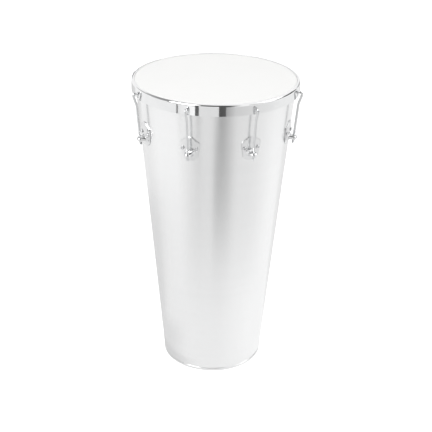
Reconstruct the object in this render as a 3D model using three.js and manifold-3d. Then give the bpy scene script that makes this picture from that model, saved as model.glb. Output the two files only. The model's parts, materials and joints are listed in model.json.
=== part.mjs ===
// Timbal: a tall conical hand drum with an aluminium shell, one plastic head, a chromed counter
// hoop and eight tension hooks.
// Millimetres, +Z up, -Y the front. The origin is the centre of the bottom rim.

import * as THREE from 'three';
import { mergeVertices } from 'three/addons/utils/BufferGeometryUtils.js';
import Module from 'manifold-3d';

const wasm = await Module();
wasm.setup();

// Driving dimensions: the drum
const drumHeight = 700;          // floor to the top of the counter hoop
const hoopRadius = 187;          // outside of the counter hoop, for a 14 inch head
const rimRadius = 118;           // outside of the shell's cone at the bottom
const mouthRadius = 179;         // outside of the shell's cone at the bearing edge
const sheet = 1.5;               // aluminium sheet of the shell
const lugCount = 8;
const gap = 0.3;                 // play between pieces that touch
const facets = 64;               // flats round every ring, so that each lug sits on the middle of one

// Driving dimensions: the head and the hoop
const edgeHeight = drumHeight - 1.5;     // top of the bearing edge
const filmThickness = 0.5;
const filmCorner = 1.4;
const hoopBand = 25;             // height of the counter hoop
const hoopWall = 2;
const hoopCorner = 1.4;
const slotWidth = 7;
const slotHeight = 13.3;
const slotBottom = 22.7;         // below the hoop's top: the edge that the hook pulls on

// Driving dimensions: a lug, in its own frame on the shell
const lugHeight = 589;           // the ledge's top above the floor
const rodRadius = 3;
const rodStandOff = 14.2;        // rod axis to the shell's surface
const rodBelowLedge = 18;
const kinkHeight = 74;           // where the rod leans out, above the ledge
const kinkAngle = THREE.MathUtils.degToRad(14);
const kinkRadius = 20;
const leanLength = 18;           // from the kink to the crook
const crookRadius = 5.5;
const crookTurn = THREE.MathUtils.degToRad(164);
const tipLength = 8.3;           // straight end that passes through the hoop's slot
const plateThickness = 2;
const shelfThickness = 2.4;
const cupWall = 1.9;
const cupRadius = 8.3;
const ledgeHalfWidth = 12;       // where it leaves the plate
const ledgeDepth = 6;            // height of its side at the rod
const skirtDepth = 13;           // height of its side at the plate
const washerRadius = 6;
const washerThickness = 1.4;
const nutAcrossFlats = 10;
const nutThickness = 5.5;
const nutPlateThickness = 2.5;
const screwSpread = 15.5;        // screw to the middle of the bracket
const screwLift = 6;             // screws above the ledge's top
const screwRadius = 2.5;
const screwHeadRadius = 4.6;
const screwHeadHeight = 2.8;
const boreRadius = rodRadius + 0.5;

// Values that follow
const coneSlope = (mouthRadius - rimRadius) / edgeHeight;
const coneAngle = Math.atan(coneSlope);
const flat = Math.cos(Math.PI / facets);
const shellRadius = (height) => rimRadius + coneSlope * height;

// Finishes
const finish = (color, roughness, metalness) => new THREE.MeshStandardMaterial({ color, roughness, metalness });
const satinAluminium = () => finish(0xd9dadb, 0.35, 1);
const chrome = () => finish(0xe6e8ea, 0.08, 1);
const zincPlate = () => finish(0xc4c7c9, 0.3, 1);
const whiteFilm = () => finish(0xf4f4f1, 0.45, 0);

// A closed mesh with shared corners and its faces pointing out
function closed(geometry) {
  const bare = new THREE.BufferGeometry();
  bare.setAttribute('position', geometry.getAttribute('position'));
  if (geometry.index) bare.setIndex(geometry.index);
  const merged = mergeVertices(bare, 1e-4);
  const corners = merged.getAttribute('position');
  const a = new THREE.Vector3();
  const b = new THREE.Vector3();
  const c = new THREE.Vector3();
  const kept = [];
  let volume = 0;
  for (let i = 0; i < merged.index.count; i += 3) {
    const [p, q, r] = [0, 1, 2].map((k) => merged.index.getX(i + k));
    if (p === q || q === r || r === p) continue;
    kept.push(p, q, r);
    a.fromBufferAttribute(corners, p);
    b.fromBufferAttribute(corners, q);
    c.fromBufferAttribute(corners, r);
    volume += a.dot(b.cross(c));
  }
  if (volume < 0) kept.reverse();
  merged.setIndex(kept);
  return merged;
}

function solid(geometry) {
  const mesh = closed(geometry);
  return new wasm.Manifold(new wasm.Mesh({
    numProp: 3,
    vertProperties: new Float32Array(mesh.getAttribute('position').array),
    triVerts: new Uint32Array(mesh.index.array),
  }));
}

function geometryOf(manifold) {
  const mesh = manifold.getMesh();
  const geometry = new THREE.BufferGeometry();
  geometry.setAttribute('position', new THREE.BufferAttribute(mesh.vertProperties, 3));
  geometry.setIndex(new THREE.BufferAttribute(mesh.triVerts, 1));
  return geometry;
}

// Turns a closed outline of [radius, height] points round the drum's axis, with a flat at the front
// and at each lug
function ring(outline) {
  const points = outline.map(([radius, height]) => new THREE.Vector2(radius, height));
  if (outline[0][0] > 0) points.push(points[0].clone());
  return new THREE.LatheGeometry(points, facets, Math.PI / facets).rotateX(Math.PI / 2);
}

// Points on an arc of [radius, height], from one angle to the other, in degrees
function arc(centreRadius, centreHeight, radius, from, to, steps) {
  return Array.from({ length: steps + 1 }, (_, i) => {
    const angle = THREE.MathUtils.degToRad(from + ((to - from) * i) / steps);
    return [centreRadius + radius * Math.cos(angle), centreHeight + radius * Math.sin(angle)];
  });
}

// Outline with its corners rounded
function rounded(corners, radius) {
  const shape = new THREE.Shape();
  const points = corners.map(([x, y]) => new THREE.Vector2(x, y));
  points.forEach((corner, i) => {
    const before = points[(i + points.length - 1) % points.length];
    const after = points[(i + 1) % points.length];
    const start = corner.clone().lerp(before, Math.min(0.5, radius / corner.distanceTo(before)));
    const end = corner.clone().lerp(after, Math.min(0.5, radius / corner.distanceTo(after)));
    if (i === 0) shape.moveTo(start.x, start.y);
    else shape.lineTo(start.x, start.y);
    shape.quadraticCurveTo(corner.x, corner.y, end.x, end.y);
  });
  shape.closePath();
  return shape;
}

const extrude = (shape, depth, curveSegments = 3) =>
  new THREE.ExtrudeGeometry(shape, { depth, bevelEnabled: false, curveSegments });

const rod = (radius, length, sides = 10) => new THREE.CylinderGeometry(radius, radius, length, sides);

// A lug's own frame lies on the shell: X along the hoop, Y up the cone, Z out from the shell
const lugPlace = new THREE.Vector3(0, -shellRadius(lugHeight) * flat, lugHeight);
const lugTilt = Math.PI / 2 + coneAngle;
const lugFrame = new THREE.Matrix4().makeRotationX(lugTilt).setPosition(lugPlace);
const toLug = lugFrame.clone().invert();
const lugAzimuths = Array.from({ length: lugCount }, (_, i) => ((i + 0.5) / lugCount) * 2 * Math.PI);

// The space between two cones beside the shell's surface, in the lug's frame
function coneLayer(inner, outer) {
  const reach = 80;
  const [low, high] = [lugHeight - reach, lugHeight + reach];
  return solid(ring([
    [shellRadius(low) + inner, low],
    [shellRadius(low) + outer, low],
    [shellRadius(high) + outer, high],
    [shellRadius(high) + inner, high],
  ]).applyMatrix4(toLug));
}

// Screw holes through the bracket, the shell and the nut plate, in the lug's frame
const screwPlaces = [-screwSpread, screwSpread].map((x) => new THREE.Vector3(x, screwLift, 0));

// The screws stand square to the curved plate, so each leans away from the middle
const screwLean = (x) => Math.asin(x / shellRadius(lugHeight));
const screwSink = (x) => shellRadius(lugHeight) * (1 - Math.cos(screwLean(x)));

function alongScrew(geometry, place) {
  return geometry
    .rotateX(Math.PI / 2)
    .rotateY(screwLean(place.x))
    .translate(place.x, place.y, -screwSink(place.x));
}

function screwHoles(radius) {
  const [left, right] = screwPlaces.map((place) => solid(alongScrew(rod(radius, 24, 8), place)));
  return left.add(right);
}

// Shell: a cone of rolled sheet, curled inward at the bearing edge and hemmed at the bottom
function shellGeometry() {
  const hemHeight = 7;
  const hemProud = 0.9;            // the folded hem stands out from the cone
  const hemInside = rimRadius - 2.9;
  const hemRound = 1.2;
  const chamfer = 0.3;
  const curl = 2.4;
  const inside = (height) => shellRadius(height) - sheet;
  const outline = [
    [hemInside + chamfer, 0],
    [rimRadius + hemProud - hemRound + 0.5, 0],
    ...arc(rimRadius + hemProud - hemRound, hemRound, hemRound, -50, 0, 1),
    [rimRadius + hemProud + coneSlope * hemHeight, hemHeight - 1],
    [shellRadius(hemHeight), hemHeight],
    [shellRadius(edgeHeight - curl), edgeHeight - curl],
    ...arc(mouthRadius - curl, edgeHeight - curl, curl, 30, 180, 3),
    [mouthRadius - 2 * curl, edgeHeight - curl - 1.5],
    [inside(edgeHeight - 7), edgeHeight - 7],
    [inside(hemHeight + 2), hemHeight + 2],
    [hemInside, hemHeight],
    [hemInside, 2 * chamfer],
  ];
  let shell = solid(ring(outline));
  const holes = screwHoles(screwRadius + gap);
  const holesAtFront = solid(geometryOf(holes).applyMatrix4(lugFrame));
  for (const azimuth of lugAzimuths) {
    shell = shell.subtract(holesAtFront.rotate([0, 0, THREE.MathUtils.radToDeg(azimuth)]));
  }
  return geometryOf(shell);
}

// Film: the playing surface and the collar that runs down the outside of the shell into its hoop
const collarInside = mouthRadius + gap + 0.2;
const filmTop = edgeHeight + gap + filmThickness;
const grooveHeight = drumHeight - 10.2;      // where the collar turns out into the flesh hoop
const grooveReach = 2.4;

function filmGeometry() {
  const outside = collarInside + filmThickness;
  return closed(ring([
    [0, filmTop],
    [outside - filmCorner, filmTop],
    [outside, filmTop - filmCorner],
    [outside, grooveHeight + filmThickness],
    [outside + grooveReach, grooveHeight + filmThickness],
    [outside + grooveReach, grooveHeight],
    [collarInside, grooveHeight],
    [collarInside, filmTop - filmCorner - filmThickness / 2],
    [outside - filmCorner - 0.1 - filmThickness / 2, filmTop - filmThickness],
    [0, filmTop - filmThickness],
  ]));
}

// Flesh hoop: an aluminium channel, open towards the film's edge
function fleshHoopGeometry() {
  const inner = collarInside + filmThickness + 0.4;
  const outer = hoopRadius - hoopWall - gap;
  const top = drumHeight - hoopWall - gap;
  const bottom = grooveHeight - 1.2;
  const slotEnd = collarInside + filmThickness + grooveReach + gap;
  return closed(ring([
    [inner, top],
    [inner, grooveHeight + filmThickness + gap],
    [slotEnd, grooveHeight + filmThickness + gap],
    [slotEnd, grooveHeight - gap],
    [inner, grooveHeight - gap],
    [inner, bottom],
    [outer, bottom],
    [outer, top],
  ]));
}

// Counter hoop: a flat band whose top is turned in over the flesh hoop, with a slot for each hook
function counterHoopGeometry() {
  const lip = collarInside + filmThickness + 0.9;
  const bottom = drumHeight - hoopBand;
  let hoop = solid(ring([
    [hoopRadius - hoopWall, bottom],
    [hoopRadius, bottom],
    ...arc(hoopRadius - hoopCorner, drumHeight - hoopCorner, hoopCorner, 0, 90, 2),
    [lip, drumHeight],
    [lip, drumHeight - hoopWall],
    [hoopRadius - hoopWall, drumHeight - hoopWall],
  ]));
  const half = slotWidth / 2;
  const slot = new THREE.Shape();
  slot.absarc(0, half, half, Math.PI, 2 * Math.PI);
  slot.absarc(0, slotHeight - half, half, 0, Math.PI);
  slot.closePath();
  const punch = solid(extrude(slot, 20, 3)
    .rotateX(Math.PI / 2)
    .translate(0, 10 - hoopRadius, drumHeight - slotBottom));
  for (const azimuth of lugAzimuths) {
    hoop = hoop.subtract(punch.rotate([0, 0, THREE.MathUtils.radToDeg(azimuth)]));
  }
  return geometryOf(hoop);
}

// The rod's bent centreline. The rod is straight between its bends, so the rings of the tube
// stand only where it bends.
class BentRod extends THREE.Curve {
  constructor() {
    super();
    this.stations = [];
    this.headings = [];
    this.at = new THREE.Vector3(0, -rodBelowLedge, rodStandOff);
    this.heading = 0;      // from straight up, positive outward
    this.mark();
  }

  get ahead() {
    return new THREE.Vector3(0, Math.cos(this.heading), Math.sin(this.heading));
  }

  mark() {
    this.stations.push(this.at.clone());
    this.headings.push(this.ahead);
  }

  straight(length) {
    this.at.addScaledVector(this.ahead, length);
    this.mark();
    return this;
  }

  bend(turn, radius, steps) {
    const step = turn / steps;
    const chord = 2 * radius * Math.sin(Math.abs(step) / 2);
    for (let i = 0; i < steps; i += 1) {
      this.heading += step / 2;
      this.at.addScaledVector(this.ahead, chord);
      this.heading += step / 2;
      this.mark();
    }
    return this;
  }

  getPointAt(t) {
    return this.stations[Math.round(t * (this.stations.length - 1))].clone();
  }

  getTangentAt(t) {
    return this.headings[Math.round(t * (this.headings.length - 1))].clone();
  }
}

// Hook: up the shell, out at the kink, over the crook, and in and down through the hoop's slot
function hookGeometry() {
  const kinkLead = kinkRadius * Math.tan(kinkAngle / 2);
  const path = new BentRod()
    .straight(rodBelowLedge + kinkHeight - kinkLead)
    .bend(kinkAngle, kinkRadius, 2)
    .straight(leanLength)
    .bend(-crookTurn, crookRadius, 8)
    .straight(tipLength);
  const section = new THREE.Shape().absarc(0, 0, rodRadius, 0, 2 * Math.PI);
  return closed(new THREE.ExtrudeGeometry(section, {
    steps: path.stations.length - 1,
    extrudePath: path,
    curveSegments: 4,
  }));
}

// Bracket: a pressed plate that hugs the cone, with a ledge whose skirt hides the nut
const plateOutline = [[-6, 32], [-24, 19], [-19, -13], [-9, -22], [9, -22], [19, -13], [24, 19], [6, 32]];

// Seen from above: wide at the plate, round about the rod
function ledgePlan(inset) {
  const side = ledgeHalfWidth - inset;
  const shape = new THREE.Shape();
  shape.moveTo(side, -5);
  shape.lineTo(side, 1);
  shape.absarc(0, rodStandOff, cupRadius - inset, 0, Math.PI);
  shape.lineTo(-side, 1);
  shape.lineTo(-side, -5);
  return shape;
}

function bracketGeometry() {
  const plate = solid(extrude(rounded(plateOutline, 5), 16, 2).translate(0, 0, -8))
    .intersect(coneLayer(gap, gap + plateThickness));
  const reach = rodStandOff + cupRadius + 2;
  const sideView = [[-5, 0], [-5, -skirtDepth], [2, -skirtDepth], [5, -9], [reach, -ledgeDepth], [reach, 0]];
  const profile = new THREE.Shape(sideView.map(([x, y]) => new THREE.Vector2(x, y)));
  const side = solid(extrude(profile, 40).rotateY(-Math.PI / 2).translate(20, 0, 0));
  const hollow = solid(extrude(ledgePlan(cupWall), 20, 4).rotateX(Math.PI / 2).translate(0, -shelfThickness, 0));
  const ledge = solid(extrude(ledgePlan(0), 20, 4).rotateX(Math.PI / 2))
    .intersect(side)
    .subtract(hollow)
    .subtract(coneLayer(-30, gap));
  const rodHole = solid(rod(boreRadius, 10, 10).translate(0, 0, rodStandOff));
  return geometryOf(plate.add(ledge).subtract(rodHole).subtract(screwHoles(screwRadius + gap)));
}

// Washer and hexagon nut, their top at height 0, on the rod's axis
function washerGeometry() {
  const shape = new THREE.Shape().absarc(0, 0, washerRadius, 0, 2 * Math.PI);
  shape.holes.push(new THREE.Path().absarc(0, 0, boreRadius, 0, 2 * Math.PI));
  return closed(extrude(shape, washerThickness, 5).rotateX(Math.PI / 2));
}

function tuningNutGeometry() {
  const acrossCorners = nutAcrossFlats / Math.cos(Math.PI / 6);
  const corners = Array.from({ length: 6 }, (_, i) =>
    new THREE.Vector2(acrossCorners / 2, 0).rotateAround(new THREE.Vector2(), (i * Math.PI) / 3));
  const shape = new THREE.Shape(corners);
  shape.holes.push(new THREE.Path().absarc(0, 0, rodRadius + 0.4, 0, 2 * Math.PI));
  return closed(extrude(shape, nutThickness, 5).rotateX(Math.PI / 2));
}

// Screw: a domed head on the bracket, its shank through the shell into the nut plate
function screwGeometry() {
  const seat = gap + plateThickness + gap;
  const end = -sheet - gap - nutPlateThickness - 2;
  const outline = [
    [0, end],
    [screwRadius, end],
    [screwRadius, seat],
    [screwHeadRadius, seat],
    [screwHeadRadius - gap, seat + 1.6],
    [0, seat + screwHeadHeight],
  ];
  const points = outline.map(([radius, height]) => new THREE.Vector2(radius, height));
  return new THREE.LatheGeometry(points, 8);
}

// Nut plate: a tapped strip inside the shell that both screws pull against
function nutPlateGeometry() {
  const strip = [[-24, -3], [24, -3], [24, 15], [-24, 15]];
  return geometryOf(solid(extrude(rounded(strip, 4), 20, 1).translate(0, 0, -14))
    .intersect(coneLayer(-sheet - gap - nutPlateThickness, -sheet - gap))
    .subtract(screwHoles(screwRadius + gap)));
}

// Assembly
const timbal = new THREE.Group();
timbal.name = 'timbal';

function addPiece(parent, name, geometry, material) {
  const piece = new THREE.Mesh(geometry, material);
  piece.name = name;
  parent.add(piece);
  return piece;
}

addPiece(timbal, 'shell', shellGeometry(), satinAluminium());
addPiece(timbal, 'head_film', filmGeometry(), whiteFilm());
addPiece(timbal, 'flesh_hoop', fleshHoopGeometry(), satinAluminium());
addPiece(timbal, 'counter_hoop', counterHoopGeometry(), chrome());

const hook = hookGeometry();
const bracket = bracketGeometry();
const washer = washerGeometry();
const tuningNut = tuningNutGeometry();
const nutPlate = nutPlateGeometry();
const screws = screwPlaces.map((place) => closed(alongScrew(screwGeometry(), place)));

lugAzimuths.forEach((azimuth, index) => {
  const number = index + 1;
  const turned = new THREE.Group();
  turned.rotation.z = azimuth;
  const lug = new THREE.Group();
  lug.position.copy(lugPlace);
  lug.rotation.x = lugTilt;
  turned.add(lug);
  timbal.add(turned);
  addPiece(lug, `bracket_${number}`, bracket, chrome());
  addPiece(lug, `nut_plate_${number}`, nutPlate, zincPlate());
  addPiece(lug, `bracket_screw_${number}_left`, screws[0], zincPlate());
  addPiece(lug, `bracket_screw_${number}_right`, screws[1], zincPlate());
  addPiece(lug, `hook_${number}`, hook, chrome());
  addPiece(lug, `washer_${number}`, washer, zincPlate())
    .position.set(0, -shelfThickness - gap, rodStandOff);
  addPiece(lug, `tuning_nut_${number}`, tuningNut, chrome())
    .position.set(0, -shelfThickness - washerThickness - 2 * gap, rodStandOff);
});

export default timbal;
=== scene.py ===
# %% [markdown]
# A timbal is a tall hand drum: a cone of rolled aluminium with one plastic head, a chromed hoop and
# eight bent hooks that pull the hoop down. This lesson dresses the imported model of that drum. The
# model is a fixed frame: every piece made here lies where the frame says and rides on one of its
# bodies, so the looks follow the joints by themselves.

import json
import math

import bmesh
import bpy
from mathutils import Matrix, Vector

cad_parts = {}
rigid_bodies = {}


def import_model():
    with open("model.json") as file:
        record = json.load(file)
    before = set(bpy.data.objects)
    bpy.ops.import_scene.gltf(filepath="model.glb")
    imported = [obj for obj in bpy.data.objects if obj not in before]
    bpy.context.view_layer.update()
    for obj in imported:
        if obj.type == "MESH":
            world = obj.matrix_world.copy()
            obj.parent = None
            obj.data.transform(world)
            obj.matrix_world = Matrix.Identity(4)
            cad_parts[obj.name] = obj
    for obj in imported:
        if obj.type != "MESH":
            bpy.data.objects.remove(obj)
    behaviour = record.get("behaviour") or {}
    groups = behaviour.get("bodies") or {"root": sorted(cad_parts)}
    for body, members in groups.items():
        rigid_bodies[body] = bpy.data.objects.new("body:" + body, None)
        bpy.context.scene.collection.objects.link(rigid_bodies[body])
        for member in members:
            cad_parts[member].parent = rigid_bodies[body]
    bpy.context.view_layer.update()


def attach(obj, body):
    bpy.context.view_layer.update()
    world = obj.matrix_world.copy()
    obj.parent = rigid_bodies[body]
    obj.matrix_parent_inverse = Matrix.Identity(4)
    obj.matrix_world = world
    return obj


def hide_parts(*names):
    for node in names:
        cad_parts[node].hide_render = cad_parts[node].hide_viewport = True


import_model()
scene = bpy.context.scene

# %% [markdown]
# The drum's own sizes, in millimetres. They repeat the driving dimensions of the solids. Those
# solids are rings of 64 flats with a lug in the middle of a flat, so a smooth ring that touches the
# flats from inside sits where the lugs expect it, and stays in the solids' box.

# %% Sizes of the drum
MM = 0.001
FLAT = math.cos(math.pi / 64)  # how near the middle of a flat lies, against its corners
HEIGHT, HOOP = 700.0, 187.0  # the hoop's top, and its outer radius
RIM, MOUTH = 118.0, 179.0  # the shell's outer radius at the foot and at the bearing edge
SHEET, GAP = 1.5, 0.3  # the shell's thickness, and the gap between pieces that touch
EDGE = HEIGHT - 1.5  # the bearing edge's height
SLOPE = (MOUTH - RIM) / EDGE
CONE = math.atan(SLOPE)
LUGS, LEDGE = 8, 589.0  # how many lugs, and the height of their ledges
STAND_OFF = 14.2  # from the shell to the middle of a rod
SHELF, PLATE, STRIP = 2.4, 2.0, 2.5  # thickness of a ledge, a bracket's plate and a nut plate


def shell_radius(height):
    """Outside of the cone at a height."""
    return RIM + SLOPE * height


print("cone", round(math.degrees(CONE), 2), "degrees; radius at the ledges", round(shell_radius(LEDGE), 1))

# %% [markdown]
# The camera stands where the photographer stood: 26 degrees above the horizon, 2.3 metres away and a
# little to the left of the middle between two hooks. The lens is a long one, 82 mm on a 36 mm
# sensor. The picture is turned by one degree, as hand-held ones are.

# %% Camera
AZIMUTH, ELEVATION, ROLL = math.radians(-4.4), math.radians(26.04), math.radians(0.94)
DISTANCE, LENS, SENSOR = 2.321, 81.8, 36
AIM_ASIDE, AIM_HEIGHT = 0.0052, 0.3578
back = Vector((math.sin(AZIMUTH) * math.cos(ELEVATION), -math.cos(AZIMUTH) * math.cos(ELEVATION),
               math.sin(ELEVATION)))
right = Vector((math.cos(AZIMUTH), math.sin(AZIMUTH), 0))
up = back.cross(right)
across = math.cos(ROLL) * right + math.sin(ROLL) * up
upward = -math.sin(ROLL) * right + math.cos(ROLL) * up
aim = AIM_ASIDE * right + Vector((0, 0, AIM_HEIGHT))

camera = bpy.data.objects.new("camera", bpy.data.cameras.new("camera"))
camera.data.sensor_width, camera.data.lens = SENSOR, LENS
turned = Matrix((across, upward, back)).transposed().to_4x4()
camera.matrix_world = Matrix.Translation(aim + DISTANCE * back) @ turned
scene.collection.objects.link(camera)
scene.camera = camera
print("camera at", tuple(round(v, 3) for v in camera.location))

# %% [markdown]
# The world, the floor and every finish are trees of nodes. One helper makes a node, sets its plain
# values and links what other nodes give, so that a tree reads as a list of what is in it. A ramp is
# the node that is needed most: it turns one range of a value into another.

# %% Helpers for nodes
def add(tree, kind, inputs=None, **settings):
    """A node with its settings made and its inputs linked or set."""
    node = tree.nodes.new(kind)
    for name, value in settings.items():
        setattr(node, name, value)
    for socket, value in (inputs or {}).items():
        if isinstance(value, bpy.types.NodeSocket):
            tree.links.new(value, node.inputs[socket])
        else:
            node.inputs[socket].default_value = value
    return node


def calc(tree, operation, *values, **settings):
    """What a math node makes of its values."""
    return add(tree, "ShaderNodeMath", dict(enumerate(values)), operation=operation, **settings).outputs[0]


def ramp(tree, value, low, high, start=0.0, end=1.0, kind="LINEAR"):
    """Goes from start to end as a value goes from low to high."""
    ends = {"From Min": low, "From Max": high, "To Min": start, "To Max": end}
    return add(tree, "ShaderNodeMapRange", {"Value": value, **ends}, interpolation_type=kind).outputs[0]


def rays(tree, first, *others):
    """One for a ray of one of these kinds, as the Light Path node names them."""
    path = add(tree, "ShaderNodeLightPath")
    total = path.outputs[first]
    for name in others:
        total = calc(tree, "ADD", total, path.outputs[name], use_clamp=True)
    return total


print("helpers: add, calc, ramp, rays")

# %% [markdown]
# The room is white all round, as in a picture for a catalogue. White that only the camera and the
# reflections see does this without throwing more light on the drum.

# %% White room
WHITE_SEEN, AMBIENT = 1.0, 0.66
world = bpy.data.worlds.new("white_room")
scene.world = world
world.use_nodes = True
tree = world.node_tree
shown = rays(tree, "Is Camera Ray", "Is Glossy Ray", "Is Transmission Ray")
tree.links.new(ramp(tree, shown, 0.0, 1.0, AMBIENT, WHITE_SEEN), tree.nodes["Background"].inputs["Strength"])
tree.nodes["Background"].inputs["Color"].default_value = (1, 1, 1, 1)
scene.view_settings.view_transform = "Standard"
print("room", WHITE_SEEN, "where it is seen,", AMBIENT, "where it lights")

# %% [markdown]
# Every piece is made of points and faces. One helper turns them into an object: it joins points that
# lie on each other, turns the faces outward and shades the form smooth, apart from its sharp edges.
# Another lists the faces of a net of points, which may close on itself in one direction or in both.

# %% Helpers for meshes
SHARP = 35  # an edge that turns by more than this, in degrees, stays sharp
SAME_SPOT, NO_SIZE = 1e-6, 1e-7  # in metres: nearer corners are one, and a shorter edge is none


def clean_mesh(data, same_spot, sharp, turn_out=False):
    """Joins corners nearer than a distance, drops what has no size, and shades all but sharp edges."""
    work = bmesh.new()
    work.from_mesh(data)
    bmesh.ops.remove_doubles(work, verts=work.verts, dist=same_spot)
    bmesh.ops.dissolve_degenerate(work, dist=NO_SIZE, edges=work.edges)
    if turn_out:
        bmesh.ops.recalc_face_normals(work, faces=work.faces)
    work.to_mesh(data)
    work.free()
    data.shade_smooth()
    data.set_sharp_from_angle(angle=math.radians(sharp))


def mesh_of(name, points, faces, sharp=SHARP):
    """A mesh object from points in millimetres, with its faces pointing out."""
    data = bpy.data.meshes.new(name)
    data.from_pydata([Vector(p) * MM for p in points], [], faces)
    clean_mesh(data, SAME_SPOT, sharp, turn_out=True)
    piece = bpy.data.objects.new(name, data)
    scene.collection.objects.link(piece)
    return piece


def grid_faces(rows, columns, wrap_rows=True, wrap_columns=True):
    """Quads of a grid of points, row by row."""
    return [
        (r * columns + c, r * columns + (c + 1) % columns,
         (r + 1) % rows * columns + (c + 1) % columns, (r + 1) % rows * columns + c)
        for r in range(rows if wrap_rows else rows - 1)
        for c in range(columns if wrap_columns else columns - 1)
    ]


print("helpers: clean_mesh, mesh_of, grid_faces")

# %% [markdown]
# The floor is pale paper. Its light is partly its own, which lifts it to white in the picture, and
# partly that of an ordinary pale surface, which takes the drum's shadow. Reflections see it white.
# It lies a little below the foot, so that no two surfaces share one place.

# %% Floor
FLOOR_HALF, FLOOR_DROP = 9e3, 0.0006
PAPER, LIFT = (0.82, 0.82, 0.82, 1), 0.62


def bare_material(name):
    """A material with an empty tree, and the tree."""
    material = bpy.data.materials.new(name)
    material.use_nodes = True
    material.node_tree.nodes.clear()
    return material, material.node_tree


corners = [(-FLOOR_HALF, -FLOOR_HALF, 0), (FLOOR_HALF, -FLOOR_HALF, 0), (FLOOR_HALF, FLOOR_HALF, 0),
           (-FLOOR_HALF, FLOOR_HALF, 0)]
floor = mesh_of("floor", corners, [(0, 1, 2, 3)])
floor.location.z = -FLOOR_DROP
paper, tree = bare_material("floor_paper")
pale = add(tree, "ShaderNodeBsdfDiffuse", {"Color": PAPER}).outputs[0]
own = add(tree, "ShaderNodeEmission", {"Strength": LIFT}).outputs[0]
lifted = add(tree, "ShaderNodeAddShader", {0: pale, 1: own}).outputs[0]
pictured = add(tree, "ShaderNodeMixShader", {0: rays(tree, "Is Camera Ray"), 1: pale, 2: lifted}).outputs[0]
white = add(tree, "ShaderNodeEmission").outputs[0]
mirrored = rays(tree, "Is Glossy Ray", "Is Transmission Ray")
seen = add(tree, "ShaderNodeMixShader", {0: mirrored, 1: pictured, 2: white}).outputs[0]
add(tree, "ShaderNodeOutputMaterial", {"Surface": seen})
floor.data.materials.append(paper)
print("floor", floor.dimensions.x, "m wide")

# %% [markdown]
# Two soft lamps light the drum from above, the larger on the left. Both are squares more than a
# metre wide, because a wide lamp gives a shadow with a soft edge.

# %% Lamps
LAMP_AIM = Vector((0, 0, 0.45))


def soft_lamp(name, place, size, power):
    """A square lamp that looks at the drum's upper half."""
    lamp = bpy.data.objects.new(name, bpy.data.lights.new(name, "AREA"))
    lamp.data.size, lamp.data.energy = size, power
    lamp.location = place
    lamp.rotation_mode = "QUATERNION"
    lamp.rotation_quaternion = (LAMP_AIM - Vector(place)).to_track_quat("-Z", "Y")
    scene.collection.objects.link(lamp)
    print(name, size, "m wide,", power, "W")


soft_lamp("lamp_left", (-1.7, -1.3, 2.4), 1.5, 34)
soft_lamp("lamp_right", (1.9, -0.2, 2.0), 1.2, 9)

# %% [markdown]
# A mirror finish needs something dark to show, or it looks like white paint. A photographer sets
# black and grey cards round the drum, out of the picture, and the hoop and the shell reflect them as
# upright bars. A card is part of a ring round the drum, because each azimuth of the room shows in one
# upright line of the metal. Only reflections see the cards, so they take no light from the drum.

# %% Helper for cards
CARD_ROWS, CARD_COLUMNS = 9, 25
# A card's grey is its own glow, an emission that only reflections see, not paint that the lamps light.
card_paint, tree = bare_material("card_paint")
grey = add(tree, "ShaderNodeAttribute", attribute_name="grey").outputs
glow = add(tree, "ShaderNodeEmission", {"Color": grey["Color"]}).outputs[0]
clear = add(tree, "ShaderNodeBsdfTransparent").outputs[0]
cover = add(tree, "ShaderNodeMixShader", {0: grey["Alpha"], 1: clear, 2: glow}).outputs[0]
add(tree, "ShaderNodeOutputMaterial", {"Surface": cover})


def between(ends, share):
    """The value a share of the way from the first end to the last."""
    return ends[0] + (ends[1] - ends[0]) * share


def card_cover(distances, widths):
    """How much a card covers at a spot, from its distances to the edges that fade out."""
    cover = 1.0
    for distance, width in zip(distances, widths):
        share = min(1, distance / width) if width else 1.0
        cover *= share * share * (3 - 2 * share)
    return cover


def card(name, sides, reach, heights, greys, soft=(0, 0), soft_near=0):
    """Part of a ring round the drum. sides are its azimuths in degrees, reach and heights run from its
    inner end to its outer end in metres, and its grey runs from side to side. Sides and inner end fade
    out over the widths in soft and soft_near. Its corners carry the grey, and the cover as alpha."""
    points, paints = [], []
    for j in range(CARD_ROWS):
        v = j / (CARD_ROWS - 1)
        radius, height = between(reach, v), between(heights, v)
        for i in range(CARD_COLUMNS):
            u = i / (CARD_COLUMNS - 1)
            angle, level = between(sides, u), between(greys, u)
            a = math.radians(angle)
            points.append(Vector((radius * math.sin(a), -radius * math.cos(a), height)))
            distances = (angle - sides[0], sides[1] - angle, radius - reach[0])
            paints.append((level, level, level, card_cover(distances, (*soft, soft_near))))
    data = bpy.data.meshes.new(name)
    data.from_pydata(points, [], grid_faces(CARD_ROWS, CARD_COLUMNS, False, False))
    tone = data.color_attributes.new("grey", "FLOAT_COLOR", "POINT")
    for corner, paint in zip(tone.data, paints):
        corner.color = paint
    data.materials.append(card_paint)
    piece = bpy.data.objects.new(name, data)
    scene.collection.objects.link(piece)
    piece.visible_camera = piece.visible_diffuse = piece.visible_shadow = piece.visible_transmission = False


print("card paint with", len(tree.nodes), "nodes")

# %% [markdown]
# Most cards lie on the floor. The hoop looks at the floor about two metres away, so the cards out
# there are the bars that it shows.

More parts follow.
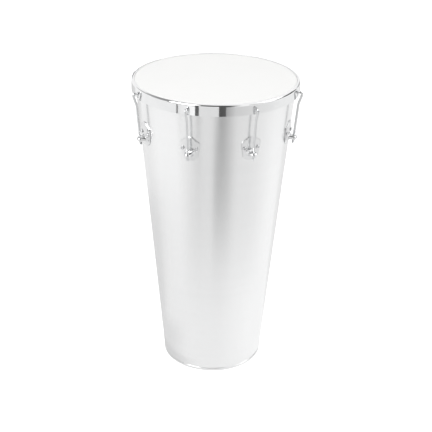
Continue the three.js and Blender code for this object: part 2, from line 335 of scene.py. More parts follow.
# %% Cards that the hoop shows
HOOP_REACH, ON_FLOOR = (1.5, 3.2), (0.001, 0.001)
hoop_cards = (
    ("bar_front", (0.3, 9.3), (0.08, 0.11)),
    ("bar_left", (-30.2, -25.2), (0.12, 0.12)),
    ("line_left", (-55.6, -53.4), (0.2, 0.2)),
    ("glow_left", (-53.4, -30.2), (0.86, 1.1)),
    ("grey_middle", (-25.2, 0.3), (0.82, 0.8)),
    ("grey_right", (9.3, 21), (0.4, 0.64)),
    ("grey_far_right", (21, 88), (0.66, 0.93)),
    ("grey_left", (-140, -55.6), (0.98, 0.93)),
    ("grey_back_right", (88, 158), (0.94, 0.9)),
    ("bar_back", (158, 166), (0.1, 0.14)),
    ("grey_back", (166, 220), (0.5, 0.8)))
for name, sides, greys in hoop_cards:
    card(name, sides, HOOP_REACH, ON_FLOOR, greys)
print("cards for the hoop", len(hoop_cards))

# %% [markdown]
# The shell looks at the floor much nearer, its lower part nearest. These cards have soft sides, as the
# shell's shading has, and they darken its middle, its sides and its foot. The two cards at the foot
# are painted shadow: the drum's shadow on the floor, which reflections of the plain white floor lack.
# Where two of them overlap, one lies a little higher than the other.

# %% Cards that the shell shows
shell_cards = (
    ("shade_wide", (-62, 105), (0.3, 1.5), 0.001, (0.72, 0.86), (30, 55), 0.5),
    ("shade_core", (-10, 33), (0.5, 1.15), 0.002, (0.37, 0.63), (9, 20), 0.5),
    ("shade_core_far", (-9, 32), (1.15, 1.5), 0.002, (0.5, 0.7), (9, 20), 0),
    ("shade_low", (-110, 70), (0.119, 0.9), 0.0005, (0.9, 0.9), (30, 80), 0),
    ("shade_left_back", (-190, -75), (0.119, 0.9), 0.0015, (0.72, 0.76), (10, 45), 0),
    # painted shadow: the drum's shadow on the floor beside its foot, as the shell reflects it
    ("shade_foot_left", (-160, -40), (0.119, 0.24), 0.002, (0.72, 0.8), (20, 40), 0),
    ("shade_foot_edge", (-160, -15), (0.119, 0.143), 0.0025, (0.58, 0.76), (20, 45), 0),
    ("shade_left_far", (-190, -95), (0.9, 1.5), 0.0015, (0.84, 0.88), (10, 35), 0),
    ("shade_right_back", (115, 190), (0.119, 1.5), 0.0012, (0.86, 0.76), (20, 10), 0),
    ("shade_back_core", (152, 196), (0.4, 1.5), 0.0025, (0.4, 0.62), (9, 20), 0.4))
for name, sides, reach, height, greys, soft, soft_near in shell_cards:
    card(name, sides, reach, (height, height), greys, soft, soft_near)
print("cards for the shell", len(shell_cards))

# %% [markdown]
# The hoop's outer bend turns upward, so it shows what stands round the room and the ceiling over it.
# The dark walls and ceilings here draw the thin dark line round the head, and the two figures carry
# the floor's dark bars up into it. The ledges of the lugs look outward too: the three flags stand
# where the ledges show them and the rest of the drum hardly does.

# %% Cards that stand or hang
BY_WALL, BY_FLAG, CEILING = (3.5, 3.5), (3.4, 3.4), (3.2, 3.2)
standing_cards = (
    ("figure_front", (0.3, 22), (3.2, 3.2), (0.001, 1.9), (0.1, 0.16), (0, 10)),
    ("figure_left", (-37, -25.2), (3.2, 3.2), (0.001, 1.9), (0.12, 0.12), (7, 0)),
    ("wall_front", (-44, 34), BY_WALL, (1.5, 3.2), (0.1, 0.1), (9, 14)),
    ("ceiling_front", (-48, 36), (0.4, 3.5), CEILING, (0.1, 0.1), (9, 14)),
    ("flag_right", (40, 66), BY_FLAG, (1.45, 2.15), (0.04, 0.04)),
    ("flag_left", (-58, -35), BY_FLAG, (1.45, 2.15), (0.04, 0.04)),
    ("flag_low_left", (-68, -40), BY_FLAG, (0.45, 1.2), (0.04, 0.04)),
    ("wall_left", (-96, -62), BY_WALL, (1.2, 3.2), (0.4, 0.34)),
    ("ceiling_left", (-96, -76), (1.2, 3.5), CEILING, (0.34, 0.34)),
    ("wall_far_left", (-140, -96), BY_WALL, (1.6, 3.2), (0.56, 0.46)),
    ("ceiling_far_left", (-172, -96), (0.9, 3.3), CEILING, (0.3, 0.3)),
    ("wall_right", (80, 128), BY_WALL, (0.6, 2.5), (0.05, 0.05)),
    ("wall_back_right", (133, 150), BY_WALL, (0.6, 1.7), (0.4, 0.4)),
    ("wall_back_left", (182, 197), BY_WALL, (0.55, 1.6), (0.1, 0.1)))
for settings in standing_cards:
    card(*settings)
print("cards that stand or hang", len(standing_cards))

# %% [markdown]
# Most pieces of a drum are turned: one outline of radii and heights goes round the axis. So the main
# helper is a lathe. With 256 turns the outline of the shell stays smooth in a close view.

# %% Helpers for turned pieces
TURNS = 256


def arc(centre, radius, first, last, steps):
    """Points on an arc round a centre, from one angle to the other in degrees."""
    angles = [math.radians(first + (last - first) * k / steps) for k in range(steps + 1)]
    return [(centre[0] + radius * math.cos(a), centre[1] + radius * math.sin(a)) for a in angles]


def lathe(name, outline, turns=TURNS, squeeze=1.0):
    """Turns a closed outline of (radius, height) round the axis."""
    points = []
    for k in range(turns):
        a = 2 * math.pi * k / turns
        points += [(r * squeeze * math.cos(a), r * squeeze * math.sin(a), h) for r, h in outline]
    return mesh_of(name, points, grid_faces(turns, len(outline)))


print("helpers: arc, and lathe with", TURNS, "turns")

# %% [markdown]
# The shell is a sheet of aluminium, rolled into a cone and welded. Its upper edge is curled inward,
# so that the film bears on a round edge, and its lower edge is folded over to a hem. All of this is
# one outline on the lathe. A folded sheet could be made with a solidify modifier, but then the hem
# and the curl would have the same thickness all round, and on the real drum they don't.

# %% Shell
CURL = 2.4
RINGS = (40, 120, 240, 360, 480, 574, 584, 604, 614, 650)


def inside_shell(height):
    """Inside of the cone's sheet at a height."""
    return shell_radius(height) - SHEET


hem = [(115.4, 0), (118.2, 0), *arc((117.8, 1.5), 1.5, -60, 0, 6), *arc((119.1, 6.4), 0.35, 0, 80, 4),
       (shell_radius(6.8), 6.8)]
wall_up = [(shell_radius(h), h) for h in (*RINGS, 690)]
curl = [(shell_radius(EDGE - CURL), EDGE - CURL), *arc((MOUTH - CURL, EDGE - CURL), CURL, 12, 180, 10)]
wall_down = [(174.2, 694.8), (inside_shell(691.5), 691.0)]
wall_down += [(inside_shell(h), h) for h in (*reversed(RINGS), 9)]
hem_inside = [(115.1, 7), (115.1, 0.5), (115.2, 0.15)]
shell_sheet = lathe("shell_sheet", hem + wall_up + curl + wall_down + hem_inside, squeeze=FLAT)
print("shell with", len(shell_sheet.data.vertices), "corners")

# %% [markdown]
# A lug is modelled once, in a frame that lies on the shell: X along the hoop, Y up the cone, Z out.
# The same frame says where the shell's screw holes are, which stand square to the curved wall.

# %% Frame of a lug
LUG_ORIGIN = Vector((0, -shell_radius(LEDGE) * FLAT, LEDGE))
LUG_FRAME = Matrix.Translation(LUG_ORIGIN * MM) @ Matrix.Rotation(math.pi / 2 + CONE, 4, "X")
SCREW_X, SCREW_Y, SCREW_HOLE = 15.5, 6.0, 2.8
SCREW_LEAN = math.asin(SCREW_X / shell_radius(LEDGE))
SCREW_SINK = shell_radius(LEDGE) * (1 - math.cos(SCREW_LEAN))


def round_drum(number):
    """The turn about the drum's axis that brings the front to lug 1 to 8."""
    return Matrix.Rotation((number - 0.5) / LUGS * 2 * math.pi, 4, "Z")


def screw_place(side):
    """Where a screw stands in a lug's frame: square to the curved plate. side is -1 or 1."""
    return (Matrix.Translation(Vector((side * SCREW_X, SCREW_Y, -SCREW_SINK)) * MM)
            @ Matrix.Rotation(side * SCREW_LEAN, 4, "Y"))


print("a lug's frame is at radius", round(-LUG_ORIGIN.y, 1), "and height", LEDGE)

# %% [markdown]
# Slots and screw holes are cut. The cut leaves long faces on a curved wall, and these would shade as
# if the wall were dented, which a mirror finish shows at once. So after a cut, the walls get the
# normals that a true cone has, worked out from each corner's place.

# %% Helpers for cuts
ON_WALL = 0.97  # how squarely a face must look along the wall's normal to be part of the wall


def settle(piece):
    """Applies what is on the piece."""
    shaped = piece.evaluated_get(bpy.context.evaluated_depsgraph_get())
    data = bpy.data.meshes.new_from_object(shaped)
    piece.modifiers.clear()
    piece.data = data
    return piece


def combine(piece, tool, operation="DIFFERENCE"):
    """Cuts with a tool, or joins it on, and throws the tool away."""
    cut = piece.modifiers.new("cut", "BOOLEAN")
    cut.operation, cut.object, cut.solver = operation, tool, "EXACT"
    settle(piece)
    bpy.data.objects.remove(tool)


def weld(piece, sharp=SHARP):
    """Cleans a cut mesh and marks its sharp edges again."""
    clean_mesh(piece.data, 2 * SAME_SPOT, sharp)


def pin(radius, low, high, place):
    """A round tool for a hole, in metres where place puts it."""
    tool = lathe("drill", [(0, low), (radius, low), (radius, high), (0, high)], 32)
    tool.data.transform(place)
    return tool


def true_walls(piece, slope, highest):
    """Gives the faces that lie on a cone round the axis, up to a height, the cone's own normals."""
    data = piece.data
    lean = math.atan(slope)
    normals = [Vector(corner.vector) for corner in data.corner_normals]
    changed = 0
    for face in data.polygons:
        middle = Vector((face.center.x, face.center.y, 0)).normalized()
        wall = Vector((middle.x * math.cos(lean), middle.y * math.cos(lean), -math.sin(lean)))
        facing = face.normal.dot(wall)
        if abs(facing) < ON_WALL or face.center.z > highest * MM:
            continue
        for loop in face.loop_indices:
            spot = data.vertices[data.loops[loop].vertex_index].co
            out = Vector((spot.x, spot.y, 0)).normalized() * math.cos(lean)
            normals[loop] = Vector((out.x, out.y, -math.sin(lean))) * math.copysign(1, facing)
            changed += 1
    data.normals_split_custom_set(normals)
    print(piece.name, "with", len(data.vertices), "corners,", changed, "normals set")


print("helpers: settle, combine, weld, pin, true_walls")

# %% [markdown]
# Sixteen holes take the screws, two beside each lug's middle.

# %% Screw holes in the shell
for number in range(1, LUGS + 1):
    for side in (-1, 1):
        combine(shell_sheet, pin(SCREW_HOLE, -8, 8, round_drum(number) @ LUG_FRAME @ screw_place(side)))
weld(shell_sheet)
true_walls(shell_sheet, SLOPE, EDGE - CURL)
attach(shell_sheet, "drum_body")
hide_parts("shell")

# %% [markdown]
# Real edges are never knife sharp, and it is the little radius on an edge that catches the light. So
# the other outlines are drawn with sharp corners, and a helper rounds each corner.

# %% Helper for rounded outlines
MOST_OF_SIDE = 0.48  # how much of a side one rounded corner may take


def rounded(corners, radius, steps):
    """A closed outline with its corners rounded. A corner may carry its own radius as a third number."""
    points = []
    for i, corner in enumerate(corners):
        here = Vector(corner[:2])
        size = corner[2] if len(corner) > 2 else radius
        if size == 0:
            points.append(here)
            continue
        before = Vector(corners[i - 1][:2]) - here
        after = Vector(corners[(i + 1) % len(corners)][:2]) - here
        half = before.angle(after) / 2
        reach = min(size / math.tan(half), MOST_OF_SIDE * before.length, MOST_OF_SIDE * after.length)
        size = reach * math.tan(half)
        centre = here + (before.normalized() + after.normalized()).normalized() * size / math.sin(half)
        start = here + before.normalized() * reach - centre
        turn = start.angle_signed(here + after.normalized() * reach - centre)
        for k in range(steps + 1):
            points.append(centre + Matrix.Rotation(-turn * k / steps, 2) @ start)
    return [tuple(p) for p in points]


print("a square has", len(rounded([(0, 0), (1, 0), (1, 1), (0, 1)], 0.1, 4)), "points with its corners rounded")

# %% [markdown]
# The head is a milky plastic film. It lies flat over the bearing edge, turns down outside the shell
# and out again into the flesh hoop, which holds it. The flesh hoop is an aluminium channel under the
# chromed hoop's top, and hardly shows. Both are turned, so both come from the lathe.

# %% Head and flesh hoop
skin = [(0, 699.3, 0), (60, 699.3, 0), (120, 699.3, 0), (168, 699.3, 0), (180, 699.3, 0.8), (180, 690.3, 0.4),
        (182.4, 690.3, 0.15), (182.4, 689.8, 0.15), (179.5, 689.8, 0.9), (179.5, 698.8, 0.9), (168, 698.8, 0),
        (120, 698.8, 0), (60, 698.8, 0), (0, 698.8, 0)]
head_skin = lathe("head_skin", rounded(skin, 0.4, 5), squeeze=FLAT)
channel = [(180.4, 697.7), (180.4, 690.6, 0.1), (182.7, 690.6, 0.1), (182.7, 689.5, 0.1), (180.4, 689.5, 0.1),
           (180.4, 688.6, 0.2), (184.7, 688.6), (184.7, 697.7, 2.0)]
flesh_channel = lathe("flesh_channel", rounded(channel, 0.5, 3), squeeze=FLAT)
for piece, node, slot in ((head_skin, "head_film", "film_white"),
                          (flesh_channel, "flesh_hoop", "channel_aluminium")):
    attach(piece, "head_assembly")
    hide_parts(node)
print("head", round(2 * max(v.co.x for v in head_skin.data.vertices), 4), "m over its lip")

# %% [markdown]
# A punch is a flat outline that is pushed to a depth. It cuts slots and crosses here, and the nut's
# hexagon is such a form too. A bevel modifier softens the edges of what was cut.

# %% Helpers for punched pieces
def prism(name, outline, low, high, place):
    """Pushes a flat outline from one depth to the other. place turns (u, v, depth) into a point."""
    points = [place(u, v, low) for u, v in outline] + [place(u, v, high) for u, v in outline]
    n = len(outline)
    sides = [(i, (i + 1) % n, (i + 1) % n + n, i + n) for i in range(n)]
    return mesh_of(name, points, sides + [tuple(range(n)), tuple(range(n, 2 * n))])


def soften(piece, width, angle):
    """Rounds the edges that turn by more than an angle, by a width in millimetres."""
    weld(piece)
    bevel = piece.modifiers.new("soften", "BEVEL")
    bevel.width, bevel.segments, bevel.limit_method = width * MM, 2, "ANGLE"
    bevel.angle_limit, bevel.miter_outer = math.radians(angle), "MITER_ARC"
    weld(settle(piece))


print("helpers: prism, soften")

# %% [markdown]
# The counter hoop is a band of steel, rolled and welded into a ring, with its top turned in over the
# flesh hoop. Its wide outer bend mirrors the dark walls and ceilings, and so draws the thin dark line
# round the head. Punched slots take the hooks. They are cut, their edges are softened, and then the
# wall gets its true normals, because a mirror shows every wrong one.

# %% Counter hoop
BEND, BAND_FOOT, BAND_SHEET = 4.5, 675, 2
SLOT_HALF, SLOT_LOW, SLOT_HIGH = 3.5, 677.3, 690.6
inner, under = HOOP - BAND_SHEET, HEIGHT - BAND_SHEET
bend = [(r, h, 0) for r, h in arc((HOOP - BEND, HEIGHT - BEND), BEND, 0, 90, 16)]
band = [(inner, BAND_FOOT, 0.4), (HOOP, BAND_FOOT, 0.5), *bend, (180.25, HEIGHT, 0.2), (180.25, under, 0.15),
        (inner, under, 2.2)]
hoop_band = lathe("hoop_band", rounded(band, 0.4, 6), squeeze=FLAT)
slot_outline = (arc((0, SLOT_LOW + SLOT_HALF), SLOT_HALF, 180, 360, 12)
                + arc((0, SLOT_HIGH - SLOT_HALF), SLOT_HALF, 0, 180, 12))
for number in range(1, LUGS + 1):
    turn = round_drum(number)
    combine(hoop_band, prism("punch", slot_outline, HOOP - 10, HOOP + 10,
                             lambda u, v, w: turn @ Vector((u, -w, v))))
soften(hoop_band, 0.3, 50)
true_walls(hoop_band, 0, HEIGHT - BEND)
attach(hoop_band, "head_assembly")
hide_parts("counter_hoop")

# %% [markdown]
# What a lug is made of is modelled once, in the lug's frame, and copied round the drum. Each copy has
# its own mesh in the drum's frame, so a grain that is drawn in that frame differs from lug to lug, as
# it does on real plated parts.

# %% Helper for copies at the lugs
def at_lugs(model, names, body, node):
    """Copies a lug's model to all eight lugs. names, body and node hold a place for the number."""
    for number in range(1, LUGS + 1):
        data = model.data.copy()
        data.transform(round_drum(number) @ LUG_FRAME)
        piece = bpy.data.objects.new(names.format(number), data)
        scene.collection.objects.link(piece)
        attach(piece, body.format(number))
        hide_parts(node.format(number))
    corners = len(model.data.vertices)
    bpy.data.objects.remove(model)
    print(names.format("1 to 8"), "with", corners, "corners each")


print("helper: at_lugs for", LUGS, "lugs")

# %% [markdown]
# A hook is one rod of 6 mm steel. It rises beside the shell, leans out at the kink, goes over the
# crook and down through the slot. A curve object with a round bevel would do for the bends, but not
# for the thread. So the bent line is walked step by step, and rings of points are set along it.

# %% Line of a hook
KINK, KINK_RADIUS = math.radians(14), 20.0
CROOK, CROOK_RADIUS = math.radians(-164), 5.5
BELOW, KINK_HEIGHT = 18.0, 74.0  # the rod's end below the ledge, and the kink's corner above it
LEANING, TIP = 18, 8.3  # the straight lengths after the kink and after the crook
THREADED = BELOW + 14.0  # how much of the rod has a thread


def rod_stations():
    """Centre, heading and length so far at every ring of the rod, in the lug's plane of Y and Z."""
    at, heading, length = Vector((-BELOW, STAND_OFF)), 0.0, 0.0
    stations = [(at.copy(), heading, length)]

    def go(distance, turn, steps):
        nonlocal at, heading, length
        for _ in range(steps):
            half = turn / steps / 2
            step = distance / steps * (math.sin(half) / half if half else 1)
            heading += half
            at = at + Vector((math.cos(heading), math.sin(heading))) * step
            heading += half
            length += distance / steps
            stations.append((at.copy(), heading, length))

    straight = BELOW + KINK_HEIGHT - KINK_RADIUS * math.tan(KINK / 2)
    go(THREADED, 0, 6 * int(THREADED))
    go(straight - THREADED, 0, 4)
    go(KINK * KINK_RADIUS, KINK, 8)
    go(LEANING, 0, 2)
    go(-CROOK * CROOK_RADIUS, CROOK, 32)
    go(TIP, 0, 3)
    return stations


stations = rod_stations()
total = stations[-1][2]
print("rod", round(total, 1), "mm long, with", len(stations), "rings")

# %% [markdown]
# The thread is a ripple in the rings' radius that climbs by one millimetre a turn and fades out at
# both of its ends. Both ends of the rod are rounded: a ring near an end is trimmed to a quarter circle.

# %% Hook
ROD, THREAD_DEPTH = 2.95, 0.55
THREAD_FROM, THREAD_GROWS, THREAD_FADES = 0.6, 0.8, 2
SIDES, ROUND_END = 16, 1.1


def rod_radius(length, angle):
    """The rod's radius, with the thread's ripple near its lower end."""
    grown = min(1, max(0, (length - THREAD_FROM) / THREAD_GROWS))
    left = min(1, max(0, (THREADED - length) / THREAD_FADES))
    ripple = 0.5 - 0.5 * math.cos(2 * math.pi * length - angle)
    return ROD - THREAD_DEPTH * ripple * grown * left


points = [(0, stations[0][0].x, stations[0][0].y)] * SIDES
for at, heading, length in stations:
    near_end = min(length, total - length)
    trim = 0.0 if near_end >= ROUND_END else ROUND_END - math.sqrt(ROUND_END ** 2 - (ROUND_END - near_end) ** 2)
    for k in range(SIDES):
        a = 2 * math.pi * k / SIDES
        r = rod_radius(length, a) - trim
        points.append((r * math.sin(a), at.x - r * math.cos(a) * math.sin(heading),
                       at.y + r * math.cos(a) * math.cos(heading)))
points += [(0, stations[-1][0].x, stations[-1][0].y)] * SIDES
hook = mesh_of("hook_model", points, grid_faces(len(stations) + 2, SIDES, False), 60)
at_lugs(hook, "hook_rod_{}", "hook_body_{}", "hook_{}")

# %% [markdown]
# Under each ledge a washer spreads the load of the tuning nut. It is turned upright and then laid
# along the rod, its top a gap below the ledge.

# %% Washer
WASHER_THICK, WASHER_HOLE, WASHER_EDGE = 1.4, 3.3, 5.9


def below_ledge(drop):
    """The place of a turned piece on the rod, its top a distance below the ledge's top."""
    return Matrix.Translation(Vector((0, -drop, STAND_OFF)) * MM) @ Matrix.Rotation(math.pi / 2, 4, "X")


ring = [(WASHER_HOLE, 0), (WASHER_EDGE, 0), (WASHER_EDGE, WASHER_THICK), (WASHER_HOLE, WASHER_THICK)]
washer = lathe("washer_model", rounded(ring, 0.3, 3), 48)
washer.data.transform(below_ledge(SHELF + GAP))
at_lugs(washer, "washer_disc_{}", "drum_body", "washer_{}")

# %% [markdown]
# The nut is a hexagon whose corners are chamfered by turning: the real one is cut from bar and
# chamfered on a lathe. Here a prism is intersected with a turned form, which gives the same curved
# edges between flat and chamfer. The bore is cut by a turned form too.

# %% Nut
NUT_FLATS, NUT_THICK, NUT_FACE, NUT_CHAMFER = 10.0, 5.5, 4.7, 0.8
NUT_BORE, NUT_MOUTH = 3.1, 3.6
corner = NUT_FLATS / 2 / math.cos(math.pi / 6)
hexagon = [(corner * math.cos(k * math.pi / 3), corner * math.sin(k * math.pi / 3)) for k in range(6)]
nut = prism("nut_model", hexagon, 0, NUT_THICK, lambda u, v, w: (u, v, w))
outer = corner + 0.3
turned = [(0, -0.01), (NUT_FACE, -0.01), (outer, NUT_CHAMFER), (outer, NUT_THICK - NUT_CHAMFER),
          (NUT_FACE, NUT_THICK + 0.01), (0, NUT_THICK + 0.01)]
combine(nut, lathe("chamfer", turned, 96), "INTERSECT")
bore = [(0, -1), (NUT_MOUTH, -1), (NUT_MOUTH, 0.15), (NUT_BORE, 0.7), (NUT_BORE, NUT_THICK - 0.7),
        (NUT_MOUTH, NUT_THICK - 0.15), (NUT_MOUTH, NUT_THICK + 1), (0, NUT_THICK + 1)]
combine(nut, lathe("bore", bore, 48))
soften(nut, 0.12, 28)
nut.data.transform(below_ledge(SHELF + WASHER_THICK + 2 * GAP))
at_lugs(nut, "nut_hex_{}", "nut_body_{}", "tuning_nut_{}")

# %% [markdown]
# Two pan head screws hold each bracket. They pass through the shell into a tapped strip inside it.
# The heads are turned, and the cross in them is cut by two crossed wedges, as the punch makes it. The
# left and the right cross stand at their own angles, as a screwdriver leaves them.

# %% Screws
HEAD_RADIUS, HEAD_HEIGHT, HEAD_SIDE, SEAT = 4.6, 2.8, 1.0, 2.6
SHANK_END, TOP = -SHEET - GAP - STRIP - 2, SEAT + HEAD_HEIGHT
SHANK, CROSS_HALF = 2.4, 0.45
dome = [(HEAD_RADIUS * math.sin(a), SEAT + HEAD_SIDE + (HEAD_HEIGHT - HEAD_SIDE) * math.cos(a))
        for a in (math.pi / 2 * k / 10 for k in range(10, -1, -1))]
shank = [(0, SHANK_END), (1.9, SHANK_END), (SHANK, SHANK_END + 0.6), (SHANK, SEAT)]
screw = lathe("screw_model", [*shank, (4.3, SEAT), (4.55, SEAT + 0.2), *dome], 40)
wedge_right = [(0.7, TOP - 1.9), (2.5, TOP - 0.3), (2.5, TOP + 1)]
wedge = [(-x, z) for x, z in reversed(wedge_right)] + wedge_right
for turn in (0, math.pi / 2):
    cross = Matrix.Rotation(turn, 4, "Z")
    combine(screw, prism("punch", wedge, -CROSS_HALF, CROSS_HALF, lambda u, v, w: cross @ Vector((u, w, v))))
soften(screw, 0.1, 35)
for side, word in ((-1, "left"), (1, "right")):
    placed = bpy.data.objects.new("screw_placed", screw.data.copy())
    placed.data.transform(screw_place(side) @ Matrix.Rotation(0.5 + 0.9 * side, 4, "Z"))
    at_lugs(placed, "screw_pan_{}_" + word, "drum_body", "bracket_screw_{}_" + word)
bpy.data.objects.remove(screw)

# %% [markdown]
# Both plates of a lug lie on the cone, so they are curved a little. Each is built as a net: the
# outline is stepped inward to the middle, every point takes its height from the cone, and the
# outermost steps make a rolled edge. A flat plate with a bend modifier would touch the shell on one
# line only.

# %% Helpers for plates that follow the cone
def cone_height(x, y):
    """How far out of the lug's flat frame the shell lies at a spot."""
    z = 0.0
    for _ in range(3):
        across = -LUG_ORIGIN.y + y * math.sin(CONE) + z * math.cos(CONE)
        up = LEDGE + y * math.cos(CONE) - z * math.sin(CONE)
        z -= math.hypot(x, across) - FLAT * shell_radius(up)
    return z


def inward(outline, distance):
    """The outline moved inward, for outlines that run anticlockwise."""
    moved = []
    for i, here in enumerate(outline):
        along = (Vector(outline[(i + 1) % len(outline)]) - Vector(outline[i - 1])).normalized()
        moved.append((here[0] - along.y * distance, here[1] + along.x * distance))
    return moved


def curved_plate(name, outline, low, high, edge, middle):
    """A plate between two heights over the shell, with round edges."""
    steps = [math.pi / 2 * k / 4 for k in range(5)]
    rows = [(edge * (1 - math.sin(a)), low + edge * (1 - math.cos(a)), 1.0) for a in steps]
    rows += [(edge * (1 - math.cos(a)), high - edge * (1 - math.sin(a)), 1.0) for a in steps]
    spokes = (0.85, 0.7, 0.55, 0.4, 0.25, 0.1, 0.0)
    rows = [(edge, low, s) for s in reversed(spokes)] + rows + [(edge, high, s) for s in spokes]
    points = []
    for inset, height, spoke in rows:
        for x, y in inward(outline, inset):
            x, y = middle[0] + (x - middle[0]) * spoke, middle[1] + (y - middle[1]) * spoke
            points.append((x, y, cone_height(x, y) + height))
    return mesh_of(name, points, grid_faces(len(rows), len(outline), False))


def filled(outline, longest):
    """The outline with points added so that no side is longer than a length."""
    points = []
    for i, here in enumerate(outline):
        there = Vector(outline[(i + 1) % len(outline)])
        count = max(1, math.ceil((there - Vector(here)).length / longest))
        points += [tuple(Vector(here).lerp(there, k / count)) for k in range(count)]
    return points


print("helpers: cone_height, inward, curved_plate, filled")
print("the shell 24 mm beside a lug lies", round(cone_height(24, 0), 2), "mm lower")

# %% [markdown]
# Inside the shell, both screws of a bracket pull against one tapped strip. It hides there, so it gets
# its form and its holes and no more.

# %% Nut plates
strip = filled(rounded([(-24, -3), (24, -3), (24, 15), (-24, 15)], 3.4, 4), 3)
plate_strip = curved_plate("strip_model", strip, -SHEET - GAP - STRIP, -SHEET - GAP, 0.4, (0, 6))
for side in (-1, 1):
    combine(plate_strip, pin(SCREW_HOLE, -12, 4, screw_place(side)))
weld(plate_strip)
at_lugs(plate_strip, "plate_strip_{}", "drum_body", "nut_plate_{}")

# %% [markdown]
# The bracket's ledge grows out of its plate, narrows to a round cup about the rod, and has a skirt
# that hides the washer. Seen from above it is one closed line. So the ledge is a net of two
# directions: along that line, and over its own section, which goes from the rod's hole over the top,
# down the skirt, round its rim and back up inside. Near the plate the top and the sides flare out
# into it, as pressed metal does.

# %% Lines of the ledge
CUP, WALL, HALF_WIDTH = 8.3, 1.9, 10.4
FRONT = GAP + PLATE
SIDE_STEPS, CUP_STEPS = 10, 28
FLARE, FLARE_REACH = 1.7, 2.6
SKIRT = ((-5, -13), (2, -13), (5, -9.2), (8, -8.2), (24.5, -6))


def sweep_in(distance):
    """How far the ledge flares at a distance from the plate."""
    return FLARE * max(0, 1 - max(0, distance) / FLARE_REACH) ** 2


def ledge_line(inset, depth):
    """The ledge from above, as (x, z): from the right corner round the cup to the left, then back."""
    side = HALF_WIDTH - inset
    right = []
    for k in range(SIDE_STEPS + 1):
        z = depth + (STAND_OFF - depth) * (k / SIDE_STEPS) ** 1.25
        taper = side + (CUP - HALF_WIDTH) * min(1, max(0, (z - 1) / (STAND_OFF - 1)))
        right.append((taper + (sweep_in(z - FRONT) if inset == 0 else 0), z))
    cup = [((CUP - inset) * math.cos(a), STAND_OFF + (CUP - inset) * math.sin(a))
           for a in (math.pi * k / CUP_STEPS for k in range(1, CUP_STEPS))]
    left = [(-x, z) for x, z in reversed(right)]
    back_edge = [(-right[0][0] + 2 * right[0][0] * k / SIDE_STEPS, depth) for k in range(1, SIDE_STEPS)]
    return right + cup + left + back_edge


def skirt_end(z):
    """The skirt's lower edge: deep at the plate, shallow at the cup. SKIRT marks (z, y) on it."""
    for (z0, y0), (z1, y1) in zip(SKIRT, SKIRT[1:]):
        if z <= z1:
            return y0 + (y1 - y0) * (z - z0) / (z1 - z0)
    return SKIRT[-1][1]


print("a ledge's line has", len(ledge_line(0, 0)), "points, and its skirt ends at", skirt_end(STAND_OFF + CUP))

# %% [markdown]
# Over its section the ledge is rounded twice: by a wide radius between the top and the skirt, which
# grows from the plate on and stays clear of the rod's hole, and by a small one at the skirt's rim.
# Each point of the ledge's line has its own point round the hole, and the section runs between them.

# %% Ledge
ROUND_AT_PLATE, ROUND_OF_SIDE, ROUND_REACH, RIM_ROUND = 1.8, 4.2, 5.5, 0.8
HOLE, THROAT, HOLE_MARGIN = 3.8, 3.5, 0.45
CORNER_TURN = 62


def hole_angles():
    """Where round the rod's hole each point of the ledge's line has its own point, in degrees."""
    right = [-CORNER_TURN * (1 - k / SIDE_STEPS) for k in range(SIDE_STEPS + 1)]
    cup = [180 * k / CUP_STEPS for k in range(1, CUP_STEPS)]
    left = [180 - angle for angle in reversed(right)]
    back_edge = [180 + CORNER_TURN + (180 - 2 * CORNER_TURN) * k / SIDE_STEPS for k in range(1, SIDE_STEPS)]
    return right + cup + left + back_edge


def edge_round(spot):
    """The rounding of the ledge's top edge, which grows from the plate on and stays clear of the hole."""
    grown = min(1, max(0, (spot.y - FRONT) / ROUND_REACH))
    room = math.hypot(spot.x, spot.y - STAND_OFF) - HOLE - HOLE_MARGIN
    return min(ROUND_AT_PLATE + (ROUND_OF_SIDE - ROUND_AT_PLATE) * grown, room)


def ledge_section(out, mid, hole):
    """The ledge's section at one point of its line, as (spot from above, height)."""
    centre = Vector((0, STAND_OFF))
    toward, half = (mid - out).normalized(), (mid - out).length / 2
    edge, end = edge_round(out), skirt_end(out.y)
    shoulder = out + toward * edge
    section = [(centre + hole * radius, y) for radius, y in ((THROAT, -SHELF), (THROAT, -0.35), (HOLE, 0.0))]
    for share in (0.3, 0.6, 0.85):
        spot = (centre + hole * HOLE).lerp(shoulder, share)
        section.append((spot, sweep_in(spot.y - FRONT)))
    for a in (math.radians(v) for v in (90, 75, 60, 45, 30, 15, 0)):
        spot = shoulder - toward * edge * math.cos(a)
        section.append((spot, sweep_in(spot.y - FRONT) - edge * (1 - math.sin(a))))
    for a in (math.radians(v) for v in (0, 45, 90, 135, 180)):
        section.append((out + toward * half * (1 - math.cos(a)), end + RIM_ROUND * (1 - math.sin(a))))
    ceiling = mid.lerp(centre, 0.1)
    halfway = ceiling.lerp(centre + hole * THROAT, 0.5)
    return section + [(mid, -SHELF - 0.7), (ceiling, -SHELF), (halfway, -SHELF)]


rows = []
for outer, inner, angle in zip(ledge_line(0, 0.9), ledge_line(WALL, 1.5), hole_angles()):
    hole = Vector((math.cos(math.radians(angle)), math.sin(math.radians(angle))))
    rows.append([(spot.x, y, spot.y) for spot, y in ledge_section(Vector(outer), Vector(inner), hole)])
ledge = mesh_of("ledge_model", [p for row in rows for p in row], grid_faces(len(rows), len(rows[0])))
print("ledge with", len(ledge.data.vertices), "corners")

# %% [markdown]
# The real bracket is pressed from one sheet, so the plate and the ledge are joined into one mesh. It
# is drilled for the two screws.

# %% Bracket
plate_outline = [(6, 32), (-6, 32), (-24, 19), (-19, -13), (-9, -22), (9, -22), (19, -13), (24, 19)]
bracket = curved_plate("bracket_model", filled(rounded(plate_outline, 4.5, 5), 2.5), GAP, FRONT, 0.75, (0, 4))
combine(bracket, ledge, "UNION")
for side in (-1, 1):
    combine(bracket, pin(SCREW_HOLE, -6, 6, screw_place(side)))
weld(bracket, 32)
at_lugs(bracket, "bracket_press_{}", "drum_body", "bracket_{}")

# %% [markdown]
# Effects that several finishes share are node groups. Each group gives out only a value that changes
# over the surface, and each finish turns these into its own colour, gloss and height. Nearly all of
# them are made from noise at the place on the object, so they need no unwrapped map.

